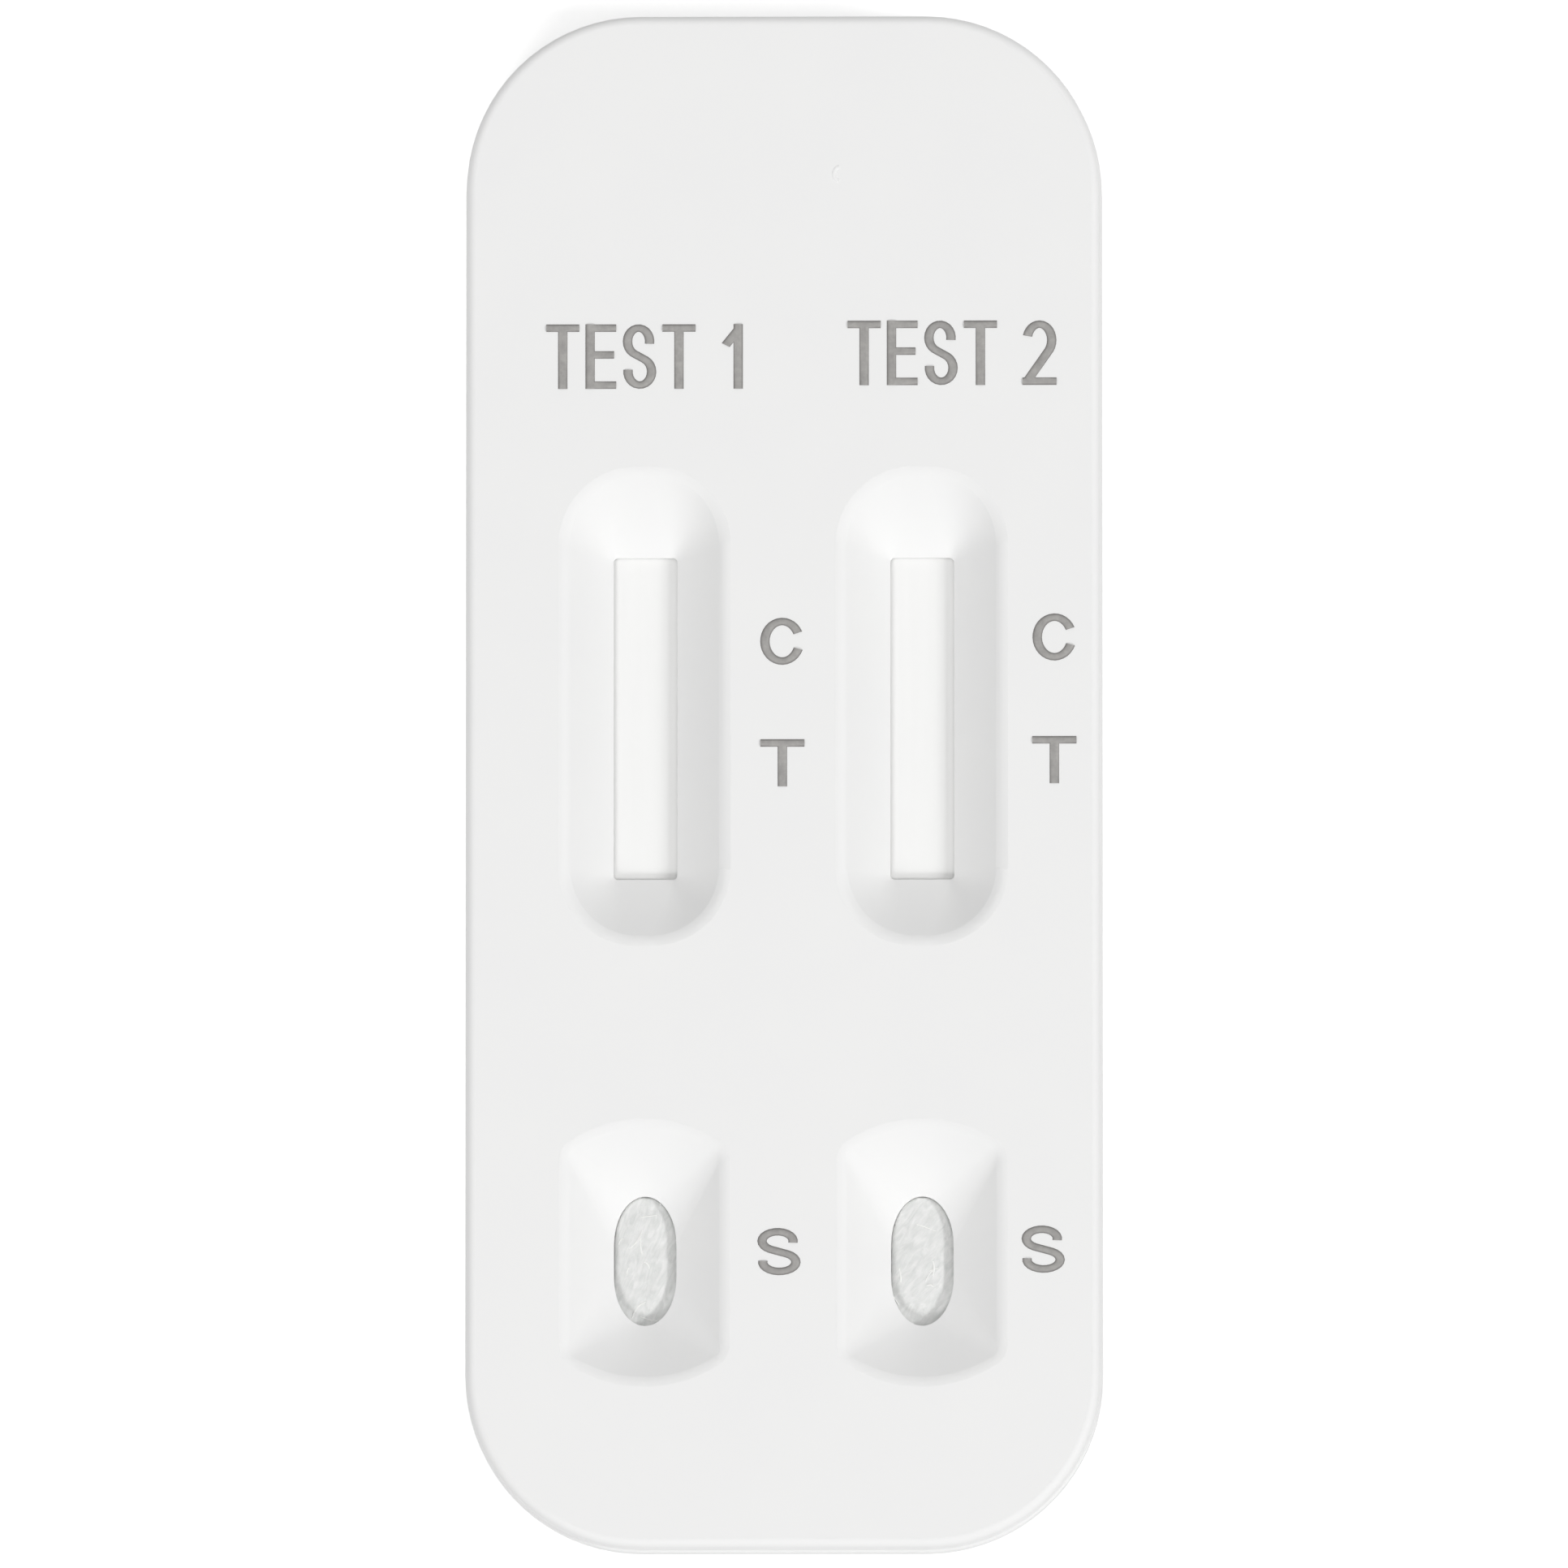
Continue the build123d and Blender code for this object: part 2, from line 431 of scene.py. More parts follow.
@dataclass(frozen=True)
class FibreMat:
    """Wet-laid mat of glass and cotton fibres, die-cut from a roll.

    The eye sees an off-white felt with soft pale streaks where fibres run together and a faint green and
    cream cast.
    The same streak pattern raises the bump, and its low hollows get the grey ground colour, which is partly
    the felt's own tone and partly painted shade. Real fibres are a few hundredths of a millimetre thick.
    The streaks are drawn as bundles, coarse enough to show, and loose strands on the felt are almost white.
    """

    name: str
    pale: str
    grey_and_shade: str
    cast: str
    strand: str = "#F7F7F5"
    turn: float = 35.0
    streak_width: float = 0.30
    streak_length: float = 1.1
    streak_detail: float = 3.0
    streak_wander: float = 1.5
    streak_low: float = 0.27
    streak_high: float = 0.68
    cast_size: float = 1.4
    fuzz: float = 0.06
    fuzz_detail: float = 2.0
    fuzz_depth: float = 0.03
    fuzz_strength: float = 0.28
    sheen: float = 0.15
    ior: float = 1.5
    roughness: float = 0.85

    def material(self) -> bpy.types.Material:
        """Build the material.

        Returns:
            The finished material.
        """
        material, tree = new_material(self.name)
        place = add_node(tree, "ShaderNodeTexCoord").outputs["Object"]
        laid = add_node(
            tree,
            "ShaderNodeMapping",
            {"Vector": place, "Rotation": (0.0, 0.0, math.radians(self.turn))},
        )
        across = per_size(self.streak_width)
        along = add_node(
            tree,
            "ShaderNodeMapping",
            {"Vector": laid.outputs["Vector"], "Scale": (across, per_size(self.streak_length), across)},
        )
        streak = add_node(
            tree,
            "ShaderNodeTexNoise",
            {
                "Vector": along.outputs["Vector"],
                "Scale": 1.0,
                "Detail": self.streak_detail,
                "Distortion": self.streak_wander,
            },
        )
        share = add_node(
            tree,
            "ShaderNodeMapRange",
            {"Value": streak.outputs["Fac"], "From Min": self.streak_low, "From Max": self.streak_high},
        )
        tinted = add_node(tree, "ShaderNodeTexNoise", {"Vector": place, "Scale": per_size(self.cast_size)})
        # The grey ground goes where the streak bump is low, so it is partly the felt's own tone and partly
        # painted shade in the hollows.
        ground_and_shade = add_node(
            tree,
            "ShaderNodeMix",
            {"Factor": tinted.outputs["Fac"], "A": linear(self.grey_and_shade), "B": linear(self.cast)},
            data_type="RGBA",
        )
        colour = add_node(
            tree,
            "ShaderNodeMix",
            {"Factor": share.outputs["Result"], "A": ground_and_shade.outputs["Result"], "B": linear(self.pale)},
            data_type="RGBA",
        )
        loose = add_node(tree, "ShaderNodeAttribute", attribute_name=STRAND)
        whole = add_node(
            tree,
            "ShaderNodeMix",
            {"Factor": loose.outputs["Fac"], "A": colour.outputs["Result"], "B": linear(self.strand)},
            data_type="RGBA",
        )
        fuzz = add_node(
            tree,
            "ShaderNodeTexNoise",
            {"Vector": place, "Scale": per_size(self.fuzz), "Detail": self.fuzz_detail},
        )
        height = add_node(
            tree,
            "ShaderNodeMath",
            {0: streak.outputs["Fac"], 1: fuzz.outputs["Fac"]},
            operation="ADD",
        )
        bump = add_node(
            tree,
            "ShaderNodeBump",
            {
                "Height": height.outputs["Value"],
                "Strength": self.fuzz_strength,
                "Distance": self.fuzz_depth * MM,
            },
        )
        shader = add_node(
            tree,
            "ShaderNodeBsdfPrincipled",
            {
                "Base Color": whole.outputs["Result"],
                "Roughness": self.roughness,
                "IOR": self.ior,
                "Sheen Weight": self.sheen,
                "Normal": bump.outputs["Normal"],
            },
        )
        add_node(tree, "ShaderNodeOutputMaterial", {"Surface": shader.outputs["BSDF"]})
        return material


def arc(centre: Point, radii: Point, start: float, end: float, steps: int = 16) -> list[Point]:
    """Points along an elliptical arc.

    Args:
        centre: Middle of the ellipse.
        radii: Half its width and half its height.
        start: Angle of the first point in degrees, from +X towards +Y.
        end: Angle of the last point in degrees.
        steps: Number of straight steps.

    Returns:
        The points in order.
    """
    angles = [math.radians(start + (end - start) * i / steps) for i in range(steps + 1)]
    return [(centre[0] + radii[0] * math.cos(a), centre[1] + radii[1] * math.sin(a)) for a in angles]


@dataclass(frozen=True)
class Stroke:
    """Centre line of a stroke in a box one wide and one high, and which of its ends stand free."""

    points: list[Point]
    free_start: bool = False
    free_end: bool = False


def glyph_strokes(glyph: Glyph) -> list[Stroke]:
    """Strokes that make up a glyph.

    Args:
        glyph: Which glyph.

    Returns:
        The glyph's strokes.
    """
    if glyph is Glyph.C:
        return [Stroke(arc((0.5, 0.5), (0.5, 0.5), 25, 338, 28))]
    if glyph is Glyph.S:
        upper = arc((0.47, 0.765), (0.45, 0.235), -10, 242)
        lower = arc((0.52, 0.235), (0.48, 0.235), 62, -188)
        return [Stroke(upper + lower)]
    if glyph is Glyph.T:
        bar = Stroke([(0, 1), (1, 1)], free_start=True, free_end=True)
        return [bar, Stroke([(0.5, 1), (0.5, 0)], free_end=True)]
    if glyph is Glyph.E:
        stem = Stroke([(0, 1), (0, 0)], free_start=True, free_end=True)
        bars = [Stroke([(0, height), (reach, height)], free_end=True) for height, reach in E_BARS]
        return [stem, *bars]
    if glyph is Glyph.ONE:
        stem = Stroke([(1, 1), (1, 0)], free_start=True, free_end=True)
        return [stem, Stroke([(1, 0.97), (0, 0.7)])]
    if glyph is Glyph.CRESCENT:
        return [Stroke(arc((1.0, 0.5), (1.0, 0.5), 105, 255))]
    bowl = arc((0.5, 0.72), (0.5, 0.28), 165, -38)
    foot = Stroke([(0, 0), (1, 0)], free_start=True, free_end=True)
    return [Stroke(bowl + [(0, 0)]), foot]


@dataclass
class Mark:
    """One raised glyph on the plate, given by its middle and its outer size.

    It is drawn with an oval pen, so level strokes are thinner than upright ones by the pen's squash.
    """

    name: str
    glyph: Glyph
    x: float
    y: float
    width: float
    height: float
    stroke: float = 0.43
    squash: float = 0.80
    rise: float = 0.07
    roundness: int = 3
    sharp_angle: float = 40.0

    def centre_line(self, stroke: Stroke) -> list[Vector]:
        """Place a stroke on the plate.

        Args:
            stroke: The stroke in its box.

        Returns:
            Points in millimetres, with free ends drawn out to the outer size of the mark, and stretched
            along the height so that a round pen gives the oval one's strokes once squashed.
        """
        half = self.stroke / 2
        size = Vector((self.width - self.stroke, self.height / self.squash - self.stroke))
        middle = Vector((self.x, self.y / self.squash))
        line = [middle + Vector(((u - 0.5) * size.x, (v - 0.5) * size.y)) for u, v in stroke.points]
        if stroke.free_start:
            line[0] += half * (line[0] - line[1]).normalized()
        if stroke.free_end:
            line[-1] += half * (line[-1] - line[-2]).normalized()
        return line

    def stroke_object(self, stroke: Stroke, top: float) -> bpy.types.Object:
        """Sweep one stroke as a flattened tube, half sunk in the plate.

        Args:
            stroke: The stroke in its box.
            top: Height of the plate in metres.

        Returns:
            The stroke as a mesh object at the origin.
        """
        curve = new_tube(self.name, self.stroke / 2, self.roundness)
        spline = curve.splines.new("POLY")
        line = self.centre_line(stroke)
        spline.points.add(len(line) - 1)
        for spot, place in zip(spline.points, line):
            spot.co = (*(place * MM), 0.0, 1.0)
        mesh = mesh_of(curve)
        flatten = Matrix.Diagonal((1.0, self.squash, 2 * self.rise / self.stroke, 1.0))
        mesh.transform(Matrix.Translation((0.0, 0.0, top)) @ flatten)
        piece = bpy.data.objects.new(self.name, mesh)
        bpy.context.collection.objects.link(piece)
        return piece

    def build(self, top: float) -> bpy.types.Object:
        """Make the glyph as one closed mesh.

        Args:
            top: Height of the plate in metres.

        Returns:
            The glyph's object.
        """
        piece, *others = [self.stroke_object(stroke, top) for stroke in glyph_strokes(self.glyph)]
        for other in others:
            union = piece.modifiers.new("join", "BOOLEAN")
            union.operation = "UNION"
            union.solver = "EXACT"
            union.object = other
        if others:
            graph = bpy.context.evaluated_depsgraph_get()
            piece.data = bpy.data.meshes.new_from_object(piece.evaluated_get(graph))
            piece.modifiers.clear()
            for other in others:
                bpy.data.objects.remove(other)
        piece.data.polygons.foreach_set("use_smooth", [True] * len(piece.data.polygons))
        piece.data.set_sharp_from_angle(angle=math.radians(self.sharp_angle))
        return piece


@dataclass
class Word:
    """A row of glyphs in even spacing, given by its middle."""

    name: str
    glyphs: tuple[Glyph | None, ...]
    x: float
    y: float
    height: float
    gap: float = 0.28
    space: float = 0.6
    widths: dict[Glyph, float] = field(
        default_factory=lambda: {
            Glyph.T: 1.5,
            Glyph.E: 1.4,
            Glyph.S: 1.55,
            Glyph.ONE: 1.0,
            Glyph.TWO: 1.55,
        }
    )

    def marks(self) -> list[Mark]:
        """Lay the glyphs out from left to right.

        Returns:
            One mark for each glyph, with spaces left out.
        """
        steps = [self.space if glyph is None else self.widths[glyph] for glyph in self.glyphs]
        left = self.x - (sum(steps) + self.gap * (len(steps) - 1)) / 2
        marks = []
        for number, (glyph, step) in enumerate(zip(self.glyphs, steps), start=1):
            if glyph is not None:
                name = f"{self.name}_{number}"
                marks.append(Mark(name, glyph, left + step / 2, self.y, step, self.height))
            left += step + self.gap
        return marks


@dataclass
class Housing:
    """The two moulded shells and the marks on the plate."""

    left_word_at: Point = (-6.30, 19.32)
    right_word_at: Point = (7.69, 19.47)
    word_height: float = 2.95
    letter_height: float = 2.15
    letter_width: float = 2.0
    nick_at: Point = (2.47, 27.66)
    nick_width: float = 0.50
    nick_height: float = 0.84
    nick_stroke: float = 0.18
    nick_rise: float = 0.025
    plastic: Polystyrene = field(default_factory=Polystyrene)
    ink: StampedInk = field(default_factory=StampedInk)

    def marks(self) -> list[Mark]:
        """List every mark on the plate.

        Returns:
            The words over the windows and the letters beside them.
        """
        word = (Glyph.T, Glyph.E, Glyph.S, Glyph.T, None)
        marks = Word("left_word", (*word, Glyph.ONE), *self.left_word_at, self.word_height).marks()
        marks += Word("right_word", (*word, Glyph.TWO), *self.right_word_at, self.word_height).marks()
        places = (
            ("left_control_mark", Glyph.C, -0.04, 6.31),
            ("left_test_mark", Glyph.T, -0.03, 0.77),
            ("left_sample_mark", Glyph.S, -0.20, -21.48),
            ("right_control_mark", Glyph.C, 12.34, 6.49),
            ("right_test_mark", Glyph.T, 12.33, 0.90),
            ("right_sample_mark", Glyph.S, 11.79, -21.38),
        )
        for name, glyph, x, y in places:
            marks.append(Mark(name, glyph, x, y, self.letter_width, self.letter_height))
        return marks

    def nick(self) -> Mark:
        """The little crescent that a nick in the mould leaves near the top of the plate."""
        return Mark(
            "mould_nick",
            Glyph.CRESCENT,
            *self.nick_at,
            self.nick_width,
            self.nick_height,
            stroke=self.nick_stroke,
            squash=1.0,
            rise=self.nick_rise,
        )

    def build(self) -> None:
        """Finish both shells and add the marks."""
        plastic = self.plastic.material()
        for node in ("upper_shell", "lower_shell"):
            dress(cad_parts[node], plastic)
            log.info("%s: %s", node, plastic.name)
        ink = self.ink.material()
        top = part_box("upper_shell")[1].z
        raised = [(mark, ink) for mark in self.marks()] + [(self.nick(), plastic)]
        for mark, finish in raised:
            piece = mark.build(top)
            dress(piece, finish)
            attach(piece, BODY)
            log.info("%s: %d faces", piece.name, len(piece.data.polygons))


@dataclass
class FibrePad:
    """A soft pad of fibres that lies on the card and rides up over its neighbour."""

    node: str
    slot: str
    finish: bpy.types.Material
    thickness: float
    lap_at_far_end: bool
    seed: int
    lap: float = 2.0
    ramp: float = 0.5
    pitch: float = 0.2
    edge: float = 0.22
    edge_drop: float = 0.12
    lump: float = 0.55
    lump_depth: float = 0.02
    sharp_angle: float = 50.0

    def __post_init__(self) -> None:
        """Read the pad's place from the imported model, in millimetres."""
        low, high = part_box(self.node)
        self.low = low / MM
        self.high = high / MM
        self.middle_x = (self.low.x + self.high.x) / 2
        self.step = self.high.z - self.low.z - self.thickness

    def underside(self, y: float) -> float:
        """Height of the pad's underside.

        Args:
            y: Place along the strip.

        Returns:
            Height in millimetres.
        """
        from_end = self.high.y - y if self.lap_at_far_end else y - self.low.y
        return self.low.z + self.step * clamped((self.lap + self.ramp - from_end) / self.ramp)

    def topside(self, x: float, y: float) -> float:
        """Height of the pad's top, with soft edges and a lumpy felt.

        Args:
            x: Place across the strip.
            y: Place along the strip.

        Returns:
            Height in millimetres.
        """
        to_edge = min(x - self.low.x, self.high.x - x, y - self.low.y, self.high.y - y)
        drop = self.edge_drop * (1 - smoothstep(to_edge / self.edge))
        spot = Vector((x / self.lump + self.seed, y / self.lump, 0.0))
        felt = noise.fractal(spot, FRACTAL_FALL, FRACTAL_GAP, FRACTAL_OCTAVES)
        dip = self.lump_depth * clamped(0.5 - 0.5 * felt)
        return self.underside(y) + self.thickness - drop - dip

    def build_mesh(self) -> bpy.types.Mesh:
        """Model the pad as a fine sheet with a thickness.

        Returns:
            The closed mesh.
        """
        size = self.high - self.low
        columns = round(size.x / self.pitch)
        rows = round(size.y / self.pitch)
        shape = bmesh.new()
        bmesh.ops.create_grid(shape, x_segments=columns, y_segments=rows, size=0.5)
        bmesh.ops.scale(shape, vec=(size.x, size.y, 1.0), verts=shape.verts)
        bmesh.ops.translate(shape, vec=(self.low + self.high) / 2, verts=shape.verts)
        grown = bmesh.ops.extrude_face_region(shape, geom=shape.faces[:])
        top = {part for part in grown["geom"] if isinstance(part, bmesh.types.BMVert)}
        for vert in shape.verts:
            x, y = vert.co.x, vert.co.y
            vert.co.z = self.topside(x, y) if vert in top else self.underside(y)
        bmesh.ops.scale(shape, vec=(MM, MM, MM), verts=shape.verts)
        bmesh.ops.recalc_face_normals(shape, faces=shape.faces)
        for face in shape.faces:
            face.smooth = True
        mesh = bpy.data.meshes.new(f"{self.node}_felt")
        shape.to_mesh(mesh)
        shape.free()
        return mesh

    def build(self) -> bpy.types.Object:
        """Make the pad in place of its plain solid.

        Returns:
            The pad's object.
        """
        mesh = self.build_mesh()
        mesh.set_sharp_from_angle(angle=math.radians(self.sharp_angle))
        piece = bpy.data.objects.new(mesh.name, mesh)
        bpy.context.collection.objects.link(piece)
        dress(piece, self.finish)
        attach(piece, BODY)
        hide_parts(self.node)
        log.info("%s: %d faces", piece.name, len(mesh.polygons))
        return piece


@dataclass
class SamplePad(FibrePad):
    """The pad under a sample well, which swells into the well and shows loose fibres there.

    The swell is a pillow that leans to the upper left, so its right and lower sides lie deeper in the well.
    The reach of the trough and the hold at the wall count in shares of the way to the rim. The fullness is
    the power by which the pillow falls off, so a higher one keeps it level further out.
    """

    pitch: float = 0.07
    well_y: float = -21.8
    well_width: float = 2.85
    well_straight: float = 1.5
    well_bow: float = 2.2
    swell: float = 0.26
    fullness: float = 4.0
    rim_dip: float = 0.04
    rim_reach: float = 0.25
    rim_hold: float = 0.02
    lean_left: float = 0.06
    lean_up: float = 0.46
    lump_depth: float = 0.10
    fibre_count: int = 9
    fibre_radius: float = 0.03
    fibre_turn: float = 60.0
    fibre_spread: float = 40.0
    fibre_shortest: float = 0.3
    fibre_longest: float = 1.1
    fibre_bend: float = 0.9
    fibre_steps: int = 7
    fibre_sunk: float = 0.4
    fibre_raised: float = 0.6
    fibre_thinnest: float = 0.5
    fibre_thickest: float = 1.4

    def way_to_rim(self, x: float, y: float) -> float:
        """Share of the way from the middle line of the well to its rim.

        Args:
            x: Place across the strip.
            y: Place along the strip.

        Returns:
            Nought on the middle line, one at the rim, and more outside it.
        """
        across = (x - self.middle_x) / (self.well_width / 2)
        along = max(abs(y - self.well_y) - self.well_straight / 2, 0.0) / self.well_bow
        return math.hypot(across, along)

    def topside(self, x: float, y: float) -> float:
        """Height of the pad's top, a pillow with a trough round it, held down under the well's wall.

        Args:
            x: Place across the strip.
            y: Place along the strip.

        Returns:
            Height in millimetres.
        """
        share = self.way_to_rim(x + self.lean_left, y - self.lean_up)
        pillow = self.swell * max(1 - share**self.fullness, 0.0)
        trough = self.rim_dip * smoothstep(1 - abs(share - 1) / self.rim_reach)
        freed = smoothstep((1 - self.way_to_rim(x, y)) / self.rim_hold)
        return super().topside(x, y) + pillow * freed - trough

    def fibre_points(self, draw: random.Random) -> list[Vector]:
        """Lay one fibre on the pad.

        Args:
            draw: Source of the random numbers.

        Returns:
            Points along the fibre in millimetres.
        """
        x = self.middle_x + draw.uniform(-0.5, 0.5) * self.well_width
        y = self.well_y + draw.uniform(-0.5, 0.5) * (self.well_straight + 2 * self.well_bow)
        heading = math.radians(self.fibre_turn + draw.gauss(0.0, self.fibre_spread))
        length = draw.uniform(self.fibre_shortest, self.fibre_longest)
        bend = draw.gauss(0.0, self.fibre_bend)
        points = []
        for _ in range(self.fibre_steps + 1):
            lift = self.fibre_radius * draw.uniform(-self.fibre_sunk, self.fibre_raised)
            points.append(Vector((x, y, self.topside(x, y) + lift)))
            x += math.cos(heading) * length / self.fibre_steps
            y += math.sin(heading) * length / self.fibre_steps
            heading += bend / self.fibre_steps
        return points

    def build_mesh(self) -> bpy.types.Mesh:
        """Model the pad and the fibres that lie on it.

        Returns:
            The mesh of pad and fibres.
        """
        draw = random.Random(self.seed)
        curve = new_tube("fibres", self.fibre_radius, roundness=0)
        for _ in range(self.fibre_count):
            points = self.fibre_points(draw)
            spline = curve.splines.new("POLY")
            spline.points.add(len(points) - 1)
            girth = draw.uniform(self.fibre_thinnest, self.fibre_thickest)
            for spot, point in zip(spline.points, points):
                spot.co = (*(point * MM), 1.0)
                spot.radius = girth
        fibres = mesh_of(curve)
        felt = super().build_mesh()
        shape = bmesh.new()
        shape.from_mesh(felt)
        strand = shape.verts.layers.float.new(STRAND)
        felt_verts = len(shape.verts)
        shape.from_mesh(fibres)
        shape.verts.ensure_lookup_table()
        for vert in shape.verts[felt_verts:]:
            vert[strand] = 1.0
        for face in shape.faces:
            face.smooth = True
        shape.to_mesh(felt)
        shape.free()
        return felt


@dataclass
class TestStrip:
    """One strip: a card with a membrane and three pads, with its own lie of the sample fibres."""

    side: Side
    seed: int
    fibre_turn: float

    def build(self, finishes: dict[str, bpy.types.Material]) -> None:
        """Finish the sheets and make the pads.

        Args:
            finishes: Materials by the slot that they belong to.
        """
        prefix = self.side.value
        for layer, slot in (("backing_card", "card"), ("membrane", "membrane")):
            dress(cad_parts[f"{prefix}_{layer}"], finishes[slot])
            log.info("%s_%s: %s", prefix, layer, slot)
        felt = FibreMat(
            f"{prefix}_sample_felt",
            pale="#EAEAE9",
            grey_and_shade="#D2D4D2",
            cast="#D9DBD9",
            turn=QUARTER_TURN - self.fibre_turn,
        )
        SamplePad(
            f"{prefix}_sample_pad",
            "sample_fibre",
            felt.material(),
            thickness=0.35,
            lap_at_far_end=True,
            seed=self.seed,
            fibre_turn=self.fibre_turn,
        ).build()
        FibrePad(
            f"{prefix}_conjugate_pad",
            "glass_fibre",
            finishes["glass_fibre"],
            thickness=0.45,
            lap_at_far_end=True,
            seed=self.seed + 1,
        ).build()
        FibrePad(
            f"{prefix}_absorbent_pad",
            "blotting_fibre",
            finishes["blotting_fibre"],
            thickness=0.9,
            lap_at_far_end=False,
            seed=self.seed + 2,
        ).build()


@dataclass(frozen=True)
class SoftLamp:
    """A round lamp that faces the cassette and gives a set share of the plate's light."""

    name: str
    share: float
    height: float
    turn: float
    distance: float
    size: float

    def build(self) -> None:
        """Hang the lamp at its height and turn, counted from the sample wells' end to the right."""
        lamp = bpy.data.lights.new(self.name, "AREA")
        lamp.shape = "DISK"
        lamp.size = self.size * MM
        height = math.radians(self.height)
        turn = math.radians(self.turn)
        distance = self.distance * MM
        lamp.energy = self.share * math.pi**2 * distance**2 / math.sin(height)
        towards = Vector(
            (math.sin(turn) * math.cos(height), -math.cos(turn) * math.cos(height), math.sin(height))
        )
        holder = bpy.data.objects.new(self.name, lamp)
        holder.location = towards * distance
        holder.rotation_mode = "QUATERNION"
        holder.rotation_quaternion = towards.to_track_quat("Z", "Y")
        bpy.context.collection.objects.link(holder)
        log.info("%s: share %.2f", self.name, self.share)


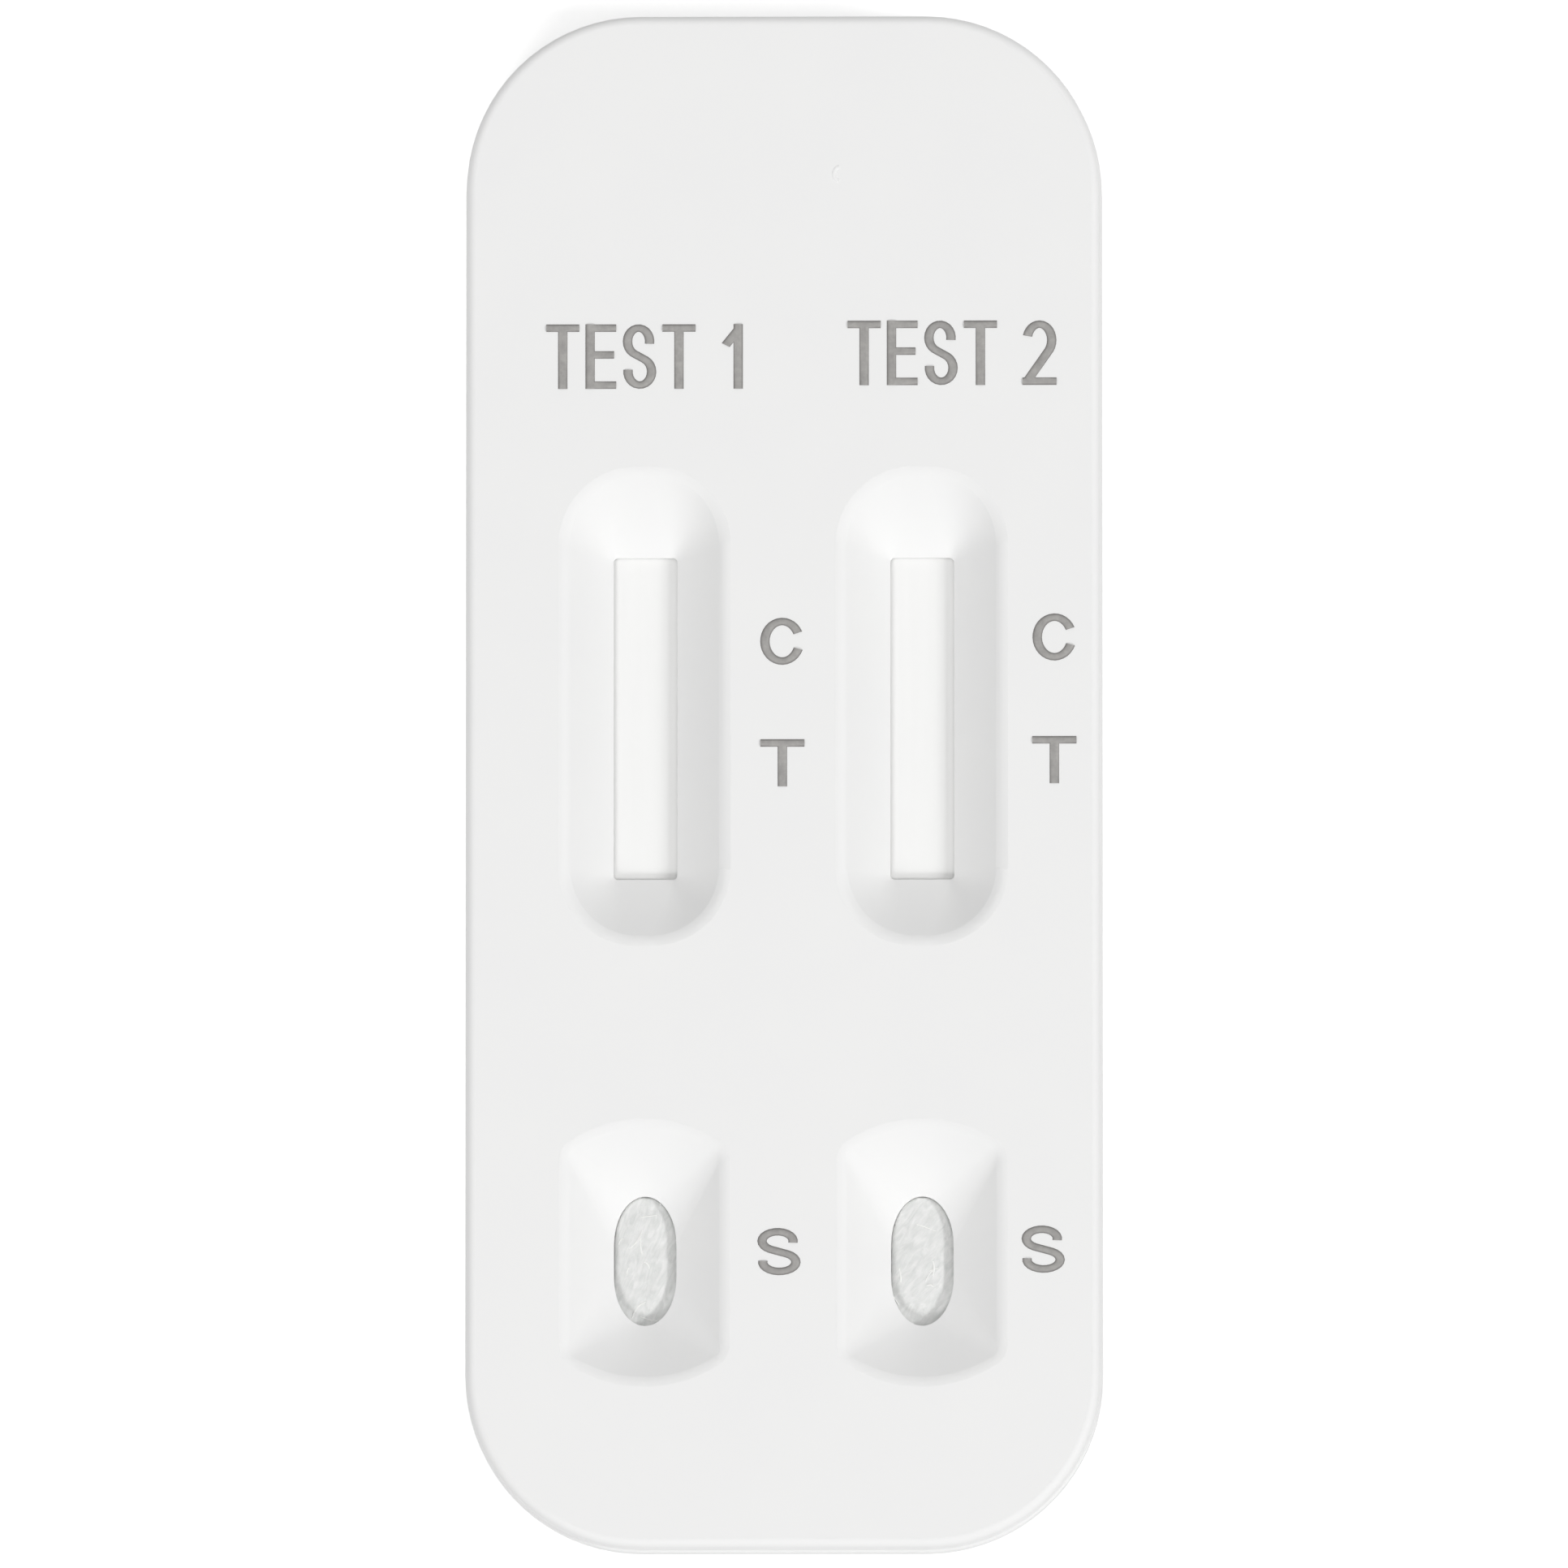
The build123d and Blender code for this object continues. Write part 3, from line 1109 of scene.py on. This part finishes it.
@dataclass
class Studio:
    """Pale floor, soft light and a long lens almost straight above the cassette."""

    ambient: float = 0.455
    lamps: tuple[SoftLamp, ...] = (
        SoftLamp("top_lamp", share=0.11, height=89.0, turn=0.0, distance=2500.0, size=1500.0),
        SoftLamp("broad_lamp", share=0.185, height=45.0, turn=-26.0, distance=2500.0, size=800.0),
        SoftLamp("key_lamp", share=0.215, height=42.0, turn=77.0, distance=2500.0, size=450.0),
    )
    backdrop: str = "#FFFFFF"
    floor_size: float = 6000.0
    floor_gap: float = 0.02
    floor_lift: float = 0.43
    floor_shown: str = "#F4F4F4"
    floor_bounce: str = "#DADADA"
    lens: float = 600.0
    sensor: float = 36.0
    view_width: float = 71.4
    tilt_towards_wells: float = 4.5
    tilt_right: float = 1.0

    def seen(self, tree: bpy.types.NodeTree) -> bpy.types.NodeSocket:
        """Add nodes that tell the rays that show a surface from those that light it.

        Args:
            tree: Node tree that gets them.

        Returns:
            A socket that is one for camera, glossy and transmission rays, and nought for the rest.
        """
        path = add_node(tree, "ShaderNodeLightPath").outputs
        first = add_node(
            tree,
            "ShaderNodeMath",
            {0: path["Is Camera Ray"], 1: path["Is Glossy Ray"]},
            operation="MAXIMUM",
        )
        both = add_node(
            tree,
            "ShaderNodeMath",
            {0: first.outputs["Value"], 1: path["Is Transmission Ray"]},
            operation="MAXIMUM",
        )
        return both.outputs["Value"]

    def build_world(self) -> None:
        """Make a white surrounding that lights the object at a plain level."""
        world = bpy.data.worlds.new("studio")
        world.use_nodes = True
        tree = world.node_tree
        tree.nodes.clear()
        strength = add_node(
            tree,
            "ShaderNodeMapRange",
            {"Value": self.seen(tree), "To Min": self.ambient, "To Max": 1.0},
        )
        background = add_node(
            tree,
            "ShaderNodeBackground",
            {"Color": linear(self.backdrop), "Strength": strength.outputs["Result"]},
        )
        add_node(tree, "ShaderNodeOutputWorld", {"Surface": background.outputs["Background"]})
        bpy.context.scene.world = world

    def build_floor(self) -> None:
        """Lay a white floor that keeps the object's shadow."""
        shape = bmesh.new()
        bmesh.ops.create_grid(shape, x_segments=1, y_segments=1, size=self.floor_size / 2 * MM)
        bmesh.ops.translate(shape, vec=(0.0, 0.0, -self.floor_gap * MM), verts=shape.verts)
        mesh = bpy.data.meshes.new("floor")
        shape.to_mesh(mesh)
        shape.free()
        floor = bpy.data.objects.new("floor", mesh)
        bpy.context.collection.objects.link(floor)
        material, tree = new_material("white_paper")
        seen = self.seen(tree)
        colour = add_node(
            tree,
            "ShaderNodeMix",
            {"Factor": seen, "A": linear(self.floor_bounce), "B": linear(self.floor_shown)},
            data_type="RGBA",
        )
        diffuse = add_node(tree, "ShaderNodeBsdfDiffuse", {"Color": colour.outputs["Result"]})
        lift = add_node(
            tree,
            "ShaderNodeMapRange",
            {"Value": seen, "To Min": 0.0, "To Max": self.floor_lift},
        )
        glow = add_node(tree, "ShaderNodeEmission", {"Strength": lift.outputs["Result"]})
        both = add_node(
            tree,
            "ShaderNodeAddShader",
            {0: diffuse.outputs["BSDF"], 1: glow.outputs["Emission"]},
        )
        add_node(tree, "ShaderNodeOutputMaterial", {"Surface": both.outputs["Shader"]})
        dress(floor, material)

    def build_camera(self) -> None:
        """Set a long lens above the plate, tilted a little to show the near edge."""
        lens = bpy.data.cameras.new("camera")
        lens.lens = self.lens
        lens.sensor_width = self.sensor
        camera = bpy.data.objects.new("camera", lens)
        back = Vector(
            (math.tan(math.radians(self.tilt_right)), -math.tan(math.radians(self.tilt_towards_wells)), 1.0)
        ).normalized()
        right = Vector((0.0, 1.0, 0.0)).cross(back).normalized()
        up = back.cross(right)
        middle = (cad_box[0] + cad_box[1]) / 2
        distance = self.view_width * MM * self.lens / self.sensor
        turn = Matrix((right, up, back)).transposed().to_4x4()
        camera.matrix_world = Matrix.Translation(middle + back * distance) @ turn
        lens.clip_end = 2 * distance
        bpy.context.collection.objects.link(camera)
        bpy.context.scene.camera = camera

    def build(self) -> None:
        """Set up the whole studio."""
        bpy.context.scene.view_settings.view_transform = "Standard"
        self.build_world()
        self.build_floor()
        for lamp in self.lamps:
            lamp.build()
        self.build_camera()
        log.info("studio: ambient %.2f", self.ambient)


def main() -> None:
    """Build and dress the cassette, then set up the studio."""
    logging.basicConfig(level=logging.INFO, format="%(name)s: %(message)s")
    Housing().build()
    finishes = {
        "card": SheetStock("pvc_card", "#F3F2EE", "#EFEEEA", ior=1.53, roughness=0.45).material(),
        "membrane": SheetStock("nitrocellulose", "#F5F5F4", "#F2F2F1", ior=1.5, roughness=0.9).material(),
        "glass_fibre": FibreMat("glass_felt", "#F1EFEA", "#DCDAD6", "#E2DFD8", turn=-20.0).material(),
        "blotting_fibre": FibreMat("blotting_felt", "#F5F4F0", "#E2E1DD", "#E8E6E0", turn=70.0).material(),
    }
    TestStrip(Side.LEFT, seed=11, fibre_turn=68.0).build(finishes)
    TestStrip(Side.RIGHT, seed=29, fibre_turn=50.0).build(finishes)
    Studio().build()


if __name__ == "__main__":
    main()
